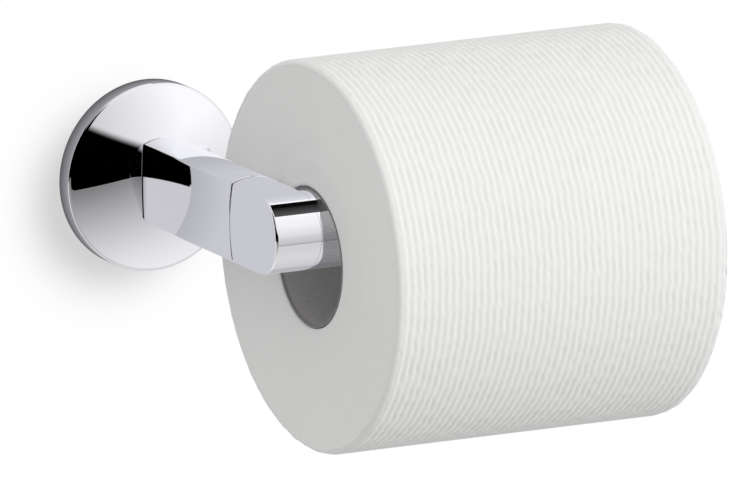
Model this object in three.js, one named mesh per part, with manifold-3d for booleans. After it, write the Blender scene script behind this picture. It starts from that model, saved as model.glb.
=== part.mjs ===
// Wall-mounted toilet paper holder with one swing-up arm and a paper roll on its bar.
// Millimetres, +Z up. The wall is the plane y = 0 and the holder stands out towards -Y.
// The origin is the centre of the bracket's back face, on the arm's swing axis.
// "Depth" below always means the distance out from the wall, so depth d is y = -d.

import * as THREE from 'three';
import { mergeVertices } from 'three/addons/utils/BufferGeometryUtils.js';
import Module from 'manifold-3d';

// ---------- driving dimensions ----------

const FLANGE_RADIUS = 28.6;
const RIM_DEPTH = 6.0;
const RIM_EDGE = 0.45;
const DOME_RISE = 7.5;
const FLANGE_WALL = 1.7;
const CAVITY_RADIUS = 26.3;
const HUB_RADIUS = 13.2;
const HUB_BACK = 7.0;

const BRACKET_RADIUS = 25.2;
const BRACKET_DEPTH = 4.0;
const BRACKET_WEB = 1.2;
const BRACKET_POCKET = 12.9;
const WALL_SCREW_X = 18.8;
const WALL_HOLE_RADIUS = 3.25;

const POST_HALF_WIDTH = 6.6;
const POST_HALF_HEIGHT = 11.8;
const SIDE_CROWN = 0.95;
const TOP_CROWN = 1.5;
const POST_CORNER = 0.35;
const SEAM_DEPTH = 69.9;
const SEAM_GAP = 0.3;
const SEAM_CHAMFER = 0.3;
const DOME_GAP = 0.3;

const SPIGOT_RADIUS = 6.0;
const SPIGOT_SHOULDER = 5.1;
const KEY_RADIUS = 4.7;
const KEY_FLAT = 3.9;
const KEY_END = 3.7;
const BOLT_RADIUS = 2.9;
const BOLT_END = 82;

const BAR_DEPTH = 88.2;
const BAR_RADIUS = 11.7;
const BAR_JOINT_X = 24;
const BAR_END_X = 129.5;
const CAP_THICKNESS = 2.6;
const TUBE_BORE = 10.2;

const ROLL_RADIUS = 58.7;
const ROLL_START_X = 9.1;
const ROLL_END_X = 118.3;
const CORE_BORE = 20.25;
const CORE_OUTER = 21.0;

const CLEAR = 0.1;
const FINE = 64;
const COARSE = 24;

// ---------- materials ----------

function metal(name, color, roughness) {
  return new THREE.MeshStandardMaterial({ name, color, roughness, metalness: 1 });
}

function matte(name, color, roughness) {
  return new THREE.MeshStandardMaterial({ name, color, roughness, metalness: 0 });
}

const chrome = () => metal('chrome', 0xe4e4ea, 0.05);
const zincCasting = () => metal('zinc', 0xa9acb0, 0.45);
const screwSteel = () => metal('screw_steel', 0xbfc2c6, 0.3);
const springSteel = () => metal('spring_steel', 0x8f9094, 0.35);
const acetal = () => matte('acetal', 0xf1efe8, 0.4);
const nylon = () => matte('nylon', 0xc9cbc6, 0.55);
const rubber = () => matte('rubber', 0x1c1c1e, 0.8);
const cardboard = () => matte('cardboard', 0xb39a78, 0.9);
const tissue = () => matte('tissue', 0xf2f1ee, 0.95);

// ---------- solid helpers ----------

const wasm = await Module();
wasm.setup();

// Closed, vertex-shared copy of a geometry, as needed for joining and cutting.
function shared(geometry) {
  const plain = geometry.index ? geometry.toNonIndexed() : geometry.clone();
  plain.deleteAttribute('normal');
  plain.deleteAttribute('uv');
  return mergeVertices(plain, 1e-4);
}

function toSolid(geometry) {
  const merged = shared(geometry);
  const vertProperties = new Float32Array(merged.attributes.position.array);
  const triVerts = new Uint32Array(merged.index.array);
  return new wasm.Manifold(new wasm.Mesh({ numProp: 3, vertProperties, triVerts }));
}

function toGeometry(solid) {
  const mesh = solid.getMesh();
  const geometry = new THREE.BufferGeometry();
  geometry.setAttribute('position', new THREE.BufferAttribute(mesh.vertProperties, 3));
  geometry.setIndex(new THREE.BufferAttribute(mesh.triVerts, 1));
  geometry.computeVertexNormals();
  return geometry;
}

function cut(body, ...tools) {
  let solid = toSolid(body);
  for (const tool of tools) solid = solid.subtract(toSolid(tool));
  return toGeometry(solid);
}

function join(body, ...others) {
  let solid = toSolid(body);
  for (const other of others) solid = solid.add(toSolid(other));
  return toGeometry(solid);
}

function overlap(first, second) {
  return toGeometry(toSolid(first).intersect(toSolid(second)));
}

// ---------- shape helpers ----------

// Solid of revolution about the swing axis. The outline is [radius, depth] pairs.
function turned(outline, segments = FINE) {
  const points = outline.map(([radius, depth]) => new THREE.Vector2(radius, depth));
  const geometry = new THREE.LatheGeometry(points, segments);
  geometry.rotateX(Math.PI);
  return geometry;
}

// Solid of revolution about a line along X. The outline is [radius, x] pairs.
function turnedAlongX(outline, segments = FINE) {
  const points = outline.map(([radius, x]) => new THREE.Vector2(radius, x));
  const geometry = new THREE.LatheGeometry(points, segments);
  geometry.rotateZ(-Math.PI / 2);
  return geometry;
}

// Round rod along the depth axis, from depth a to depth b, at (x, z).
function rod(radius, a, b, x = 0, z = 0, segments = COARSE) {
  const geometry = new THREE.CylinderGeometry(radius, radius, b - a, segments);
  geometry.translate(x, -(a + b) / 2, z);
  return geometry;
}

// A shape drawn in (x, z), pushed out from depth a to depth b.
function pushed(shape, a, b, bevel = 0) {
  const geometry = new THREE.ExtrudeGeometry(shape, {
    depth: b - a - 2 * bevel,
    steps: 1,
    curveSegments: COARSE / 2,
    bevelEnabled: bevel > 0,
    bevelThickness: bevel,
    bevelSize: bevel,
    bevelOffset: -bevel,
    bevelSegments: 1,
  });
  geometry.rotateX(Math.PI / 2);
  geometry.translate(0, -a - bevel, 0);
  return geometry;
}

function circleShape(radius, hole) {
  const shape = new THREE.Shape();
  shape.absarc(0, 0, radius, 0, 2 * Math.PI, false);
  if (hole) shape.holes.push(hole);
  return shape;
}

// Round outline with two flats, for the keyed end of the spigot and the washer on it.
function doubleFlat(radius, flat, Kind = THREE.Shape) {
  const angle = Math.asin(flat / radius);
  const outline = new Kind();
  outline.absarc(0, 0, radius, -angle, angle, false);
  outline.absarc(0, 0, radius, Math.PI - angle, Math.PI + angle, false);
  outline.closePath();
  return outline;
}

// Points along a shallow arc that bulges outward between two corners of a section listed
// counter-clockwise. Both ends stop short of the corner, which leaves it lightly broken.
function crownedSide(from, to, crown, count) {
  const along = to.clone().sub(from);
  const outward = new THREE.Vector2(along.y, -along.x).normalize();
  const half = along.length() / 2;
  const radius = (half * half + crown * crown) / (2 * crown);
  const points = [];
  for (let i = 0; i <= count; i += 1) {
    const offset = (half - POST_CORNER) * ((2 * i) / count - 1);
    const height = Math.sqrt(radius * radius - offset * offset) - (radius - crown);
    const middle = from.clone().lerp(to, 0.5 + offset / (2 * half));
    points.push(middle.addScaledVector(outward, height));
  }
  return points;
}

// Post section in (x, z): four crowned sides that meet at lightly broken corners.
function postSection() {
  const w = POST_HALF_WIDTH;
  const h = POST_HALF_HEIGHT;
  const corners = [[-w, -h], [w, -h], [w, h], [-w, h]].map(([x, z]) => new THREE.Vector2(x, z));
  const crowns = [TOP_CROWN, SIDE_CROWN, TOP_CROWN, SIDE_CROWN];
  const counts = [8, 12, 8, 12];
  const outline = corners.flatMap((corner, side) => {
    return crownedSide(corner, corners[(side + 1) % 4], crowns[side], counts[side]);
  });
  return new THREE.Shape(outline);
}

// ---------- flange and wall fixing ----------

const domeEdge = FLANGE_RADIUS - RIM_EDGE;
const domeRadius = (domeEdge * domeEdge + DOME_RISE * DOME_RISE) / (2 * DOME_RISE);
const domeCentre = RIM_DEPTH + DOME_RISE - domeRadius;

function domeDepth(radius, offset = 0) {
  const r = domeRadius + offset;
  return domeCentre + Math.sqrt(r * r - radius * radius);
}

// [radius, depth] pairs along the dome, from one radius to another.
function domeArc(from, to, count, offset = 0) {
  const points = [];
  for (let i = 0; i <= count; i += 1) {
    const radius = from + ((to - from) * i) / count;
    points.push([radius, domeDepth(radius, offset)]);
  }
  return points;
}

function makeFlange() {
  const bushSeat = 7.6;
  const outline = [
    [CAVITY_RADIUS, 0],
    [FLANGE_RADIUS, 0],
    [FLANGE_RADIUS, RIM_DEPTH - RIM_EDGE],
    [FLANGE_RADIUS - 0.3 * RIM_EDGE, RIM_DEPTH - 0.3 * RIM_EDGE],
    ...domeArc(domeEdge, SPIGOT_RADIUS + 0.3, 10),
    [SPIGOT_RADIUS + 0.3, 11.5],
    [bushSeat, 11.5],
    [bushSeat, HUB_BACK],
    [HUB_RADIUS, HUB_BACK],
    [HUB_RADIUS, domeDepth(HUB_RADIUS, -FLANGE_WALL)],
    ...domeArc(HUB_RADIUS + 3, CAVITY_RADIUS - 1, 4, -FLANGE_WALL),
    [CAVITY_RADIUS, 4.3],
    [CAVITY_RADIUS, 0],
  ];
  const grubHole = new THREE.CylinderGeometry(1.6, 1.6, 8, COARSE);
  grubHole.rotateX(Math.PI / 2);
  grubHole.translate(0, -BRACKET_DEPTH / 2 - 0.6, -FLANGE_RADIUS + 2);
  return cut(turned(outline), grubHole, rod(1.3, HUB_BACK - 1, HUB_BACK + 3.6, ...STOP_PIN_AT));
}

// The bracket is a dished disc. Its edge carries a groove for the grub screw's point.
function makeBracket() {
  const groove = 0.9;
  const outline = [
    [0, 0],
    [BRACKET_RADIUS, 0],
    [BRACKET_RADIUS, 1.2],
    [BRACKET_RADIUS - groove, 2.6],
    [BRACKET_RADIUS, BRACKET_DEPTH],
    [BRACKET_POCKET, BRACKET_DEPTH],
    [BRACKET_POCKET, BRACKET_WEB],
    [0, BRACKET_WEB],
  ];
  const holes = [-1, 1].map((side) => rod(WALL_HOLE_RADIUS, -1, 6, side * WALL_SCREW_X, 0));
  return cut(turned(outline), ...holes);
}

// Pan-head wood screw with ridged thread, cross recess and point, head at the given depth.
function makeWallScrew() {
  const head = BRACKET_DEPTH + 0.05;
  const core = 1.35;
  const crest = 1.75;
  const pitch = 2.4;
  const outline = [
    [0, head + 2.5],
    [2.2, head + 2.4],
    [3.6, head + 1.6],
    [4.2, head + 0.5],
    [4.2, head],
    [crest, head],
    [crest, -1],
  ];
  for (let i = 0; i < 10; i += 1) {
    const depth = -1.6 - i * pitch;
    outline.push([core, depth]);
    outline.push([core, depth - 1.3]);
    outline.push([crest, depth - 1.85]);
  }
  outline.push([core, -26]);
  outline.push([0, -30]);
  const slots = [0, Math.PI / 2].map((turn) => {
    const slot = new THREE.BoxGeometry(4.2, 1.5, 0.9);
    slot.rotateY(turn);
    slot.translate(0, -head - 2.2, 0);
    return slot;
  });
  return cut(turned(outline.reverse(), 16), ...slots);
}

// Ribbed wall plug, open along its bore and split by two slits.
function makeAnchor() {
  const bore = 1.9;
  const outline = [[bore, -0.1], [2.95, -0.1]];
  for (let i = 0; i < 6; i += 1) {
    const depth = -1.5 - i * 3.9;
    outline.push([2.95, depth]);
    outline.push([2.45, depth - 0.4]);
    outline.push([2.45, depth - 2.2]);
  }
  outline.push([2.95, -25]);
  outline.push([2.3, -27]);
  outline.push([bore, -27]);
  outline.push([bore, -0.1]);
  const slit = new THREE.BoxGeometry(8, 17, 0.7);
  slit.translate(0, 20.5, 0);
  return cut(turned(outline.reverse(), 20), slit);
}

// Socket grub screw that points up at the bracket's groove.
function makeGrubScrew() {
  const geometry = new THREE.LatheGeometry([
    new THREE.Vector2(0, 0),
    new THREE.Vector2(1.5, 0),
    new THREE.Vector2(1.5, 2.5),
    new THREE.Vector2(0.3, 3.7),
    new THREE.Vector2(0, 3.7),
  ], COARSE);
  const socket = new THREE.CylinderGeometry(0.85, 0.85, 2.4, 6);
  const screw = cut(geometry, socket);
  screw.rotateX(Math.PI / 2);
  return screw;
}

// ---------- swing joint ----------

const STOP_PIN_RADIUS = 11.2;
const STOP_PIN_ANGLE = THREE.MathUtils.degToRad(-45);
const STOP_PIN_AT = [STOP_PIN_RADIUS * Math.cos(STOP_PIN_ANGLE), STOP_PIN_RADIUS * Math.sin(STOP_PIN_ANGLE)];

// Washer keyed to the spigot. Its wide sector meets the stop pin at both ends of the swing.
function makeStopWasher() {
  const pinHalf = Math.asin((1.25 + CLEAR) / STOP_PIN_RADIUS);
  const start = STOP_PIN_ANGLE + pinHalf;
  const end = STOP_PIN_ANGLE - Math.PI / 2 - pinHalf + 2 * Math.PI;
  const shape = new THREE.Shape();
  shape.absarc(0, 0, 12.5, start, end, false);
  shape.absarc(0, 0, 9.4, end, start + 2 * Math.PI, false);
  shape.closePath();
  shape.holes.push(doubleFlat(KEY_RADIUS + CLEAR, KEY_FLAT + CLEAR, THREE.Path));
  return pushed(shape, KEY_END + 0.05, SPIGOT_SHOULDER - 0.05);
}

function makeBush() {
  return turned([
    [SPIGOT_RADIUS + 0.05, 6.15],
    [9.7, 6.15],
    [9.7, HUB_BACK - 0.05],
    [7.55, HUB_BACK - 0.05],
    [7.55, 11.4],
    [SPIGOT_RADIUS + 0.05, 11.4],
    [SPIGOT_RADIUS + 0.05, 6.15],
  ]);
}

function makeDiscSpring() {
  return turned([
    [SPIGOT_RADIUS + 0.15, 5.15],
    [SPIGOT_RADIUS + 0.25, 5.13],
    [9.2, 5.6],
    [9.2, 6.1],
    [SPIGOT_RADIUS + 0.15, 5.63],
    [SPIGOT_RADIUS + 0.15, 5.15],
  ]);
}

// Low-head socket bolt that pulls the arm onto the neck and holds the neck in the flange.
function makeTieBolt() {
  const outline = [
    [0, 1.4],
    [4.6, 1.4],
    [5.0, 1.7],
    [5.0, KEY_END - 0.05],
    [BOLT_RADIUS, KEY_END - 0.05],
    [BOLT_RADIUS, BOLT_END - 0.8],
    [BOLT_RADIUS - 0.8, BOLT_END],
    [0, BOLT_END],
  ];
  const socket = new THREE.CylinderGeometry(2.3, 2.3, 3, 6);
  socket.translate(0, -1.4, 0);
  return cut(turned(outline, COARSE), socket);
}

// ---------- neck, arm and bar ----------

function locatingHoles(from, to) {
  return [-1, 1].map((side) => rod(1.6, from, to, 0, side * 8.4, 24));
}

// Neck casting: crowned section seated on the dome, with a round spigot into the flange.
function makeNeck() {
  const section = pushed(postSection(), 8, SEAM_DEPTH - SEAM_GAP / 2, SEAM_CHAMFER);
  const domeTool = turned([
    [0, 0],
    [20, 0],
    ...domeArc(20, 0, 24, DOME_GAP),
  ], 64);
  const seated = cut(section, domeTool);
  const spigot = rod(SPIGOT_RADIUS, SPIGOT_SHOULDER, 18, 0, 0, 64);
  const key = pushed(doubleFlat(KEY_RADIUS, KEY_FLAT), KEY_END, SPIGOT_SHOULDER + 1);
  const whole = join(seated, spigot, key);
  const bore = rod(BOLT_RADIUS + 0.2, 0, 40);
  const hollow = rod(4.6, 28, SEAM_DEPTH + 1);
  return cut(whole, bore, hollow, ...locatingHoles(SEAM_DEPTH - 5.2, SEAM_DEPTH + 1));
}

// Outline of the arm head seen from the side, in (depth, z): two faces that slope in
// from the seam and run tangent into the round end about the bar's axis.
function headOutline() {
  const rise = POST_HALF_HEIGHT + TOP_CROWN + 0.2;
  const back = SEAM_DEPTH - 2;
  const reach = Math.hypot(BAR_DEPTH - back, rise);
  const towards = Math.atan2(rise, back - BAR_DEPTH);
  const tangent = towards - Math.acos(BAR_RADIUS / reach);
  const shape = new THREE.Shape();
  shape.moveTo(back, rise);
  shape.lineTo(back, -rise);
  shape.absarc(BAR_DEPTH, 0, BAR_RADIUS, -tangent, tangent, false);
  shape.closePath();
  return shape;
}

// The head is one elbow casting with the first stretch of the bar and a spigot for the tube.
function makeArmHead() {
  const edge = 0.7;
  const reach = POST_HALF_WIDTH + SIDE_CROWN;
  const profile = new THREE.ExtrudeGeometry(headOutline(), {
    depth: 2 * reach - 2 * edge,
    steps: 1,
    curveSegments: 40,
    bevelEnabled: true,
    bevelThickness: edge,
    bevelSize: edge,
    bevelOffset: -edge,
    bevelSegments: 4,
  });
  const toRowFrame = new THREE.Matrix4().makeBasis(
    new THREE.Vector3(0, -1, 0),
    new THREE.Vector3(0, 0, 1),
    new THREE.Vector3(-1, 0, 0),
  );
  profile.applyMatrix4(toRowFrame);
  profile.translate(reach - edge, 0, 0);
  const section = pushed(postSection(), SEAM_DEPTH + SEAM_GAP / 2, BAR_DEPTH + 14, SEAM_CHAMFER);
  const elbow = overlap(section, profile);
  const stub = turnedAlongX([
    [0, 1],
    [BAR_RADIUS, 1],
    [BAR_RADIUS, BAR_JOINT_X - 0.3],
    [BAR_RADIUS - 0.3, BAR_JOINT_X],
    [TUBE_BORE - CLEAR, BAR_JOINT_X],
    [TUBE_BORE - CLEAR, BAR_JOINT_X + 15],
    [TUBE_BORE - 1, BAR_JOINT_X + 16],
    [0, BAR_JOINT_X + 16],
  ]);
  stub.translate(0, -BAR_DEPTH, 0);
  const tapped = rod(BOLT_RADIUS + 0.1, SEAM_DEPTH - 1, BOLT_END + 2);
  return cut(join(elbow, stub), tapped, ...locatingHoles(SEAM_DEPTH - 1, SEAM_DEPTH + 5.2));
}

function makeLocatingPin() {
  return turned([
    [0, SEAM_DEPTH - 4.8],
    [1.1, SEAM_DEPTH - 4.8],
    [1.5, SEAM_DEPTH - 4.3],
    [1.5, SEAM_DEPTH + 4.3],
    [1.1, SEAM_DEPTH + 4.8],
    [0, SEAM_DEPTH + 4.8],
  ], 24);
}

function makeBarTube() {
  return turnedAlongX([
    [TUBE_BORE, BAR_JOINT_X + 0.1],
    [BAR_RADIUS - 0.3, BAR_JOINT_X + 0.1],
    [BAR_RADIUS, BAR_JOINT_X + 0.4],
    [BAR_RADIUS, BAR_END_X - CAP_THICKNESS - 0.3],
    [BAR_RADIUS - 0.3, BAR_END_X - CAP_THICKNESS],
    [TUBE_BORE, BAR_END_X - CAP_THICKNESS],
    [TUBE_BORE, BAR_JOINT_X + 0.1],
  ]);
}

const CAP_BACK = BAR_END_X - CAP_THICKNESS + 0.1;
const RING_X = CAP_BACK - 6;

// Push-in end cap: a slightly domed button on a plug with a groove for its rubber ring.
function makeEndCap() {
  return turnedAlongX([
    [0, CAP_BACK - 12],
    [8.6, CAP_BACK - 12],
    [9.6, CAP_BACK - 11],
    [9.6, RING_X - 1.1],
    [8.2, RING_X - 1.1],
    [8.2, RING_X + 1.1],
    [9.6, RING_X + 1.1],
    [9.6, CAP_BACK],
    [BAR_RADIUS - 0.3, CAP_BACK],
    [BAR_RADIUS, CAP_BACK + 0.3],
    [BAR_RADIUS, BAR_END_X - 1.2],
    [BAR_RADIUS - 0.35, BAR_END_X - 0.55],
    [BAR_RADIUS - 1.2, BAR_END_X - 0.2],
    [BAR_RADIUS - 4, BAR_END_X],
    [0, BAR_END_X],
  ]);
}

function makeCapRing() {
  const ring = new THREE.TorusGeometry(9.2, 0.85, 10, 40);
  ring.rotateY(Math.PI / 2);
  return ring;
}

// ---------- roll ----------

function makeRollCore() {
  return turnedAlongX([
    [CORE_BORE, ROLL_START_X + 0.5],
    [CORE_OUTER, ROLL_START_X + 0.5],
    [CORE_OUTER, ROLL_END_X - 0.5],
    [CORE_BORE, ROLL_END_X - 0.5],
    [CORE_BORE, ROLL_START_X + 0.5],
  ]);
}

function makePaperRoll() {
  const inner = CORE_OUTER + CLEAR;
  const round = 2.6;
  const outline = [[inner, ROLL_START_X + 0.8], [inner + 0.8, ROLL_START_X]];
  for (let i = 0; i <= 4; i += 1) {
    const angle = (i / 4) * (Math.PI / 2);
    const radius = ROLL_RADIUS - round + round * Math.sin(angle);
    outline.push([radius, ROLL_START_X + round - round * Math.cos(angle)]);
  }
  for (let i = 4; i >= 0; i -= 1) {
    const angle = (i / 4) * (Math.PI / 2);
    const radius = ROLL_RADIUS - round + round * Math.sin(angle);
    outline.push([radius, ROLL_END_X - round + round * Math.cos(angle)]);
  }
  outline.push([inner + 0.8, ROLL_END_X]);
  outline.push([inner, ROLL_END_X - 0.8]);
  outline.push(outline[0]);
  return turnedAlongX(outline);
}

// ---------- assembly ----------

function piece(name, geometry, material, position = [0, 0, 0]) {
  const mesh = new THREE.Mesh(geometry, material);
  mesh.name = name;
  mesh.position.set(...position);
  return mesh;
}

const wallMount = new THREE.Group();
wallMount.add(piece('wall_bracket', makeBracket(), zincCasting()));
for (const [side, x] of [['left', -WALL_SCREW_X], ['right', WALL_SCREW_X]]) {
  wallMount.add(piece(`wall_screw_${side}`, makeWallScrew(), screwSteel(), [x, 0, 0]));
  wallMount.add(piece(`wall_anchor_${side}`, makeAnchor(), nylon(), [x, 0, 0]));
}
wallMount.add(piece('flange', makeFlange(), chrome()));
const grubAt = [0, -BRACKET_DEPTH / 2 - 0.6, -FLANGE_RADIUS + 0.3];
wallMount.add(piece('flange_grub_screw', makeGrubScrew(), screwSteel(), grubAt));
wallMount.add(piece('pivot_bush', makeBush(), acetal()));
const stopPin = rod(1.25, 3.9, HUB_BACK + 3.4, ...STOP_PIN_AT);
wallMount.add(piece('stop_pin', stopPin, springSteel()));

const arm = new THREE.Group();
arm.add(piece('neck', makeNeck(), chrome()));
arm.add(piece('stop_washer', makeStopWasher(), springSteel()));
arm.add(piece('disc_spring', makeDiscSpring(), springSteel()));
arm.add(piece('tie_bolt', makeTieBolt(), screwSteel()));
arm.add(piece('locating_pin_upper', makeLocatingPin(), springSteel(), [0, 0, 8.4]));
arm.add(piece('locating_pin_lower', makeLocatingPin(), springSteel(), [0, 0, -8.4]));
arm.add(piece('arm_head', makeArmHead(), chrome()));

const bar = new THREE.Group();
bar.position.set(0, -BAR_DEPTH, 0);
bar.add(piece('arm_bar', makeBarTube(), chrome()));
bar.add(piece('end_cap', makeEndCap(), chrome()));
bar.add(piece('end_cap_ring', makeCapRing(), rubber(), [RING_X, 0, 0]));
arm.add(bar);

// The roll hangs with the top of its cardboard core on the top of the bar.
const roll = new THREE.Group();
roll.position.set(0, -BAR_DEPTH, BAR_RADIUS + CLEAR - CORE_BORE);
roll.add(piece('roll_core', makeRollCore(), cardboard()));
roll.add(piece('paper_roll', makePaperRoll(), tissue()));

const group = new THREE.Group();
group.name = 'toilet_paper_holder';
group.add(wallMount, arm, roll);

export default group;
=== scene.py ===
"""Looks for the wall-mounted toilet paper holder: polished chrome, an embossed paper roll
on a cardboard core, and the fixings behind the flange.

Shapes are worked out in millimetres in the row frame (bar along +X, wall at y = 0, +Z up)
and turned into metres when a mesh is made. "Depth" is the distance out from the wall.
"""

import math

import bpy
import numpy as np
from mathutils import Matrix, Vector


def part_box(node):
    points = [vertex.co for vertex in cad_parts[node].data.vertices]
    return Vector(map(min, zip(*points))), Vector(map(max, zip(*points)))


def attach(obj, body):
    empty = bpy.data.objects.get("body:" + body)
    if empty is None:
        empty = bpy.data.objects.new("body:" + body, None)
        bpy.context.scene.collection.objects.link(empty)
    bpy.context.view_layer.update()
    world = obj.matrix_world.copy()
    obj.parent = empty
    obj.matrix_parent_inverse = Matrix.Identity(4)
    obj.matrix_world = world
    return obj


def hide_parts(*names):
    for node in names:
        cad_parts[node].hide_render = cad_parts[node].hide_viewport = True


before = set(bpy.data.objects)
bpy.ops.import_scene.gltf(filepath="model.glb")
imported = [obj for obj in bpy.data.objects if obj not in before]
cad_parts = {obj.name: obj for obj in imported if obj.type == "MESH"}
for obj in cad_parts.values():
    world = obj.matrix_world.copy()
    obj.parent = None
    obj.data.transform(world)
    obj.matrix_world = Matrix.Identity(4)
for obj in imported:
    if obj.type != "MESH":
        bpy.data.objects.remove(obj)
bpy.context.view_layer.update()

MM = 0.001
SEED = 7

# ---------- sizes read from the frame, in millimetres ----------


def cad_range(node, axis):
    """Lowest and highest value of a CAD node along x, y or z, in millimetres."""
    low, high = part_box(node)
    index = "xyz".index(axis)
    return low[index] / MM, high[index] / MM


SEAM_RELIEF = 0.2  # rounding of the two edges that meet at the seam

FLANGE_RADIUS = cad_range("flange", "x")[1]
SEAM_NECK = -cad_range("neck", "y")[0] - SEAM_RELIEF
SEAM_HEAD = -cad_range("arm_head", "y")[1] + SEAM_RELIEF
POST_SIDE = cad_range("neck", "x")[1]
POST_TOP = cad_range("neck", "z")[1]
NECK_END = -cad_range("neck", "y")[1]

BAR_RADIUS = (cad_range("arm_bar", "y")[1] - cad_range("arm_bar", "y")[0]) / 2
BAR_DEPTH = -sum(cad_range("arm_bar", "y")) / 2
TUBE_START, TUBE_END = cad_range("arm_bar", "x")
HEAD_END = cad_range("arm_head", "x")[1]
CAP_START, CAP_END = cad_range("end_cap", "x")

ROLL_START, ROLL_END = cad_range("paper_roll", "x")
ROLL_RADIUS = (cad_range("paper_roll", "z")[1] - cad_range("paper_roll", "z")[0]) / 2
ROLL_Z = sum(cad_range("paper_roll", "z")) / 2
CORE_START, CORE_END = cad_range("roll_core", "x")
CORE_OUTER = (cad_range("roll_core", "z")[1] - cad_range("roll_core", "z")[0]) / 2

# ---------- sizes shared with the CAD source, in millimetres ----------

RIM_DEPTH = 6.0
DOME_RISE = 7.5
FLANGE_WALL = 1.7
CAVITY_RADIUS = 26.3
HUB_RADIUS = 13.2
HUB_BACK = 7.0
BUSH_SEAT = 7.6
BUSH_SHOULDER = 11.5
SPIGOT_RADIUS = 6.0
DOME_GAP = 0.7

SIDE_CROWN = 0.95
TOP_CROWN = 1.5
TUBE_BORE = 10.2
CORE_BORE = 20.25

EDGE = 0.4  # radius that polishing leaves on the outside edges
SEAM_EDGE = 0.22  # radius of the two edges that meet at the seam

# ---------- meshes ----------


def skin(name, rings, closed=False, poles=(False, False)):
    """A mesh through rings of points (ring, point, xyz) in millimetres. Each ring closes on
    itself; closed also joins the last ring to the first. A pole shuts an end: True puts it in
    the middle of the end ring, and a point puts it there."""
    rings = np.asarray(rings, float)
    count, width = rings.shape[:2]
    points = list(rings.reshape(-1, 3))
    faces = []
    for row in range(count if closed else count - 1):
        here = row * width
        there = (row + 1) % count * width
        for i in range(width):
            j = (i + 1) % width
            faces.append((here + i, here + j, there + j, there + i))
    for end, wanted in zip((0, count - 1), poles):
        if wanted is not False:
            points.append(rings[end].mean(axis=0) if wanted is True else np.array(wanted, float))
            ring = [end * width + i for i in range(width)]
            if end == 0:
                ring.reverse()
            faces += [(ring[i - 1], ring[i], len(points) - 1) for i in range(width)]
    mesh = bpy.data.meshes.new(name)
    mesh.from_pydata([tuple(p * MM) for p in points], [], faces)
    outward(mesh)
    mesh.polygons.foreach_set("use_smooth", [True] * len(mesh.polygons))
    piece = bpy.data.objects.new(name, mesh)
    bpy.context.scene.collection.objects.link(piece)
    return piece


def outward(mesh):
    """Turns every face of a closed mesh whose faces agree, if they point in."""
    corners = np.empty(len(mesh.vertices) * 3)
    mesh.vertices.foreach_get("co", corners)
    corners = corners.reshape(-1, 3)
    mesh.calc_loop_triangles()
    index = np.empty(len(mesh.loop_triangles) * 3, int)
    mesh.loop_triangles.foreach_get("vertices", index)
    a, b, c = (corners[index.reshape(-1, 3)[:, i]] for i in range(3))
    if np.einsum("ij,ij->i", a, np.cross(b, c)).sum() < 0:
        mesh.flip_normals()


def keep_edges(piece, degrees=35):
    """Shades smoothly except across edges sharper than this, favouring the larger faces."""
    piece.data.set_sharp_from_angle(angle=math.radians(degrees))
    even = piece.modifiers.new("even_normals", "WEIGHTED_NORMAL")
    even.keep_sharp = True
    return piece


def rounded(corners, closed=False, steps=5):
    """An outline through corners (u, v, radius), each softened by about its radius."""
    spots = np.array([corner[:2] for corner in corners], float)
    count = len(corners)
    outline = []
    for i, (_, _, radius) in enumerate(corners):
        here = spots[i]
        if radius == 0 or (not closed and i in (0, count - 1)):
            outline.append(here)
            continue
        back = spots[i - 1] - here
        ahead = spots[(i + 1) % count] - here
        reach = min(radius, 0.45 * np.linalg.norm(back), 0.45 * np.linalg.norm(ahead))
        start = here + back / np.linalg.norm(back) * reach
        end = here + ahead / np.linalg.norm(ahead) * reach
        for t in np.linspace(0, 1, steps + 1):
            outline.append((1 - t) ** 2 * start + 2 * t * (1 - t) * here + t * t * end)
    return np.array(outline)


def angles(segments):
    return np.linspace(0, 2 * math.pi, segments, endpoint=False)


def round_wall(outline, segments, x=0.0, z=0.0):
    """Rings of (radius, depth) points about a line square to the wall."""
    turn = angles(segments)
    rings = []
    for radius, depth in outline:
        ring = [x + radius * np.cos(turn), np.full(segments, -depth), z + radius * np.sin(turn)]
        rings.append(np.stack(ring, axis=1))
    return np.array(rings)


def round_bar(outline, segments, z=0.0):
    """Rings of (radius, x) points about a line along the bar, at the bar's depth."""
    turn = angles(segments)
    rings = []
    for radius, x in outline:
        ring = [np.full(segments, x), -BAR_DEPTH + radius * np.cos(turn), z + radius * np.sin(turn)]
        rings.append(np.stack(ring, axis=1))
    return np.array(rings)


def finish_piece(piece, body, slot, material, *nodes):
    """Gives a piece its material and its body, and hides the CAD nodes it stands for. The slot argument
    is not used.
    """
    piece.data.materials.append(material)
    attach(piece, body)
    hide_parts(*nodes)
    return piece


def carve(piece, *cutters):
    """Cuts closed meshes out of a piece and removes them."""
    for cutter in cutters:
        cut = piece.modifiers.new("cut", "BOOLEAN")
        cut.operation = "DIFFERENCE"
        cut.solver = "EXACT"
        cut.object = cutter
    bpy.context.view_layer.update()
    graph = bpy.context.evaluated_depsgraph_get()
    mesh = bpy.data.meshes.new_from_object(piece.evaluated_get(graph))
    piece.modifiers.clear()
    piece.data = mesh
    mesh.name = piece.name
    for cutter in cutters:
        bpy.data.objects.remove(cutter)
    return piece


# ---------- flange ----------

DOME_EDGE = FLANGE_RADIUS - EDGE
DOME_RADIUS = (DOME_EDGE**2 + DOME_RISE**2) / (2 * DOME_RISE)
DOME_CENTRE = RIM_DEPTH + DOME_RISE - DOME_RADIUS


def dome_depth(radius, offset=0.0):
    return DOME_CENTRE + np.sqrt((DOME_RADIUS + offset) ** 2 - np.square(radius))


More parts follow.
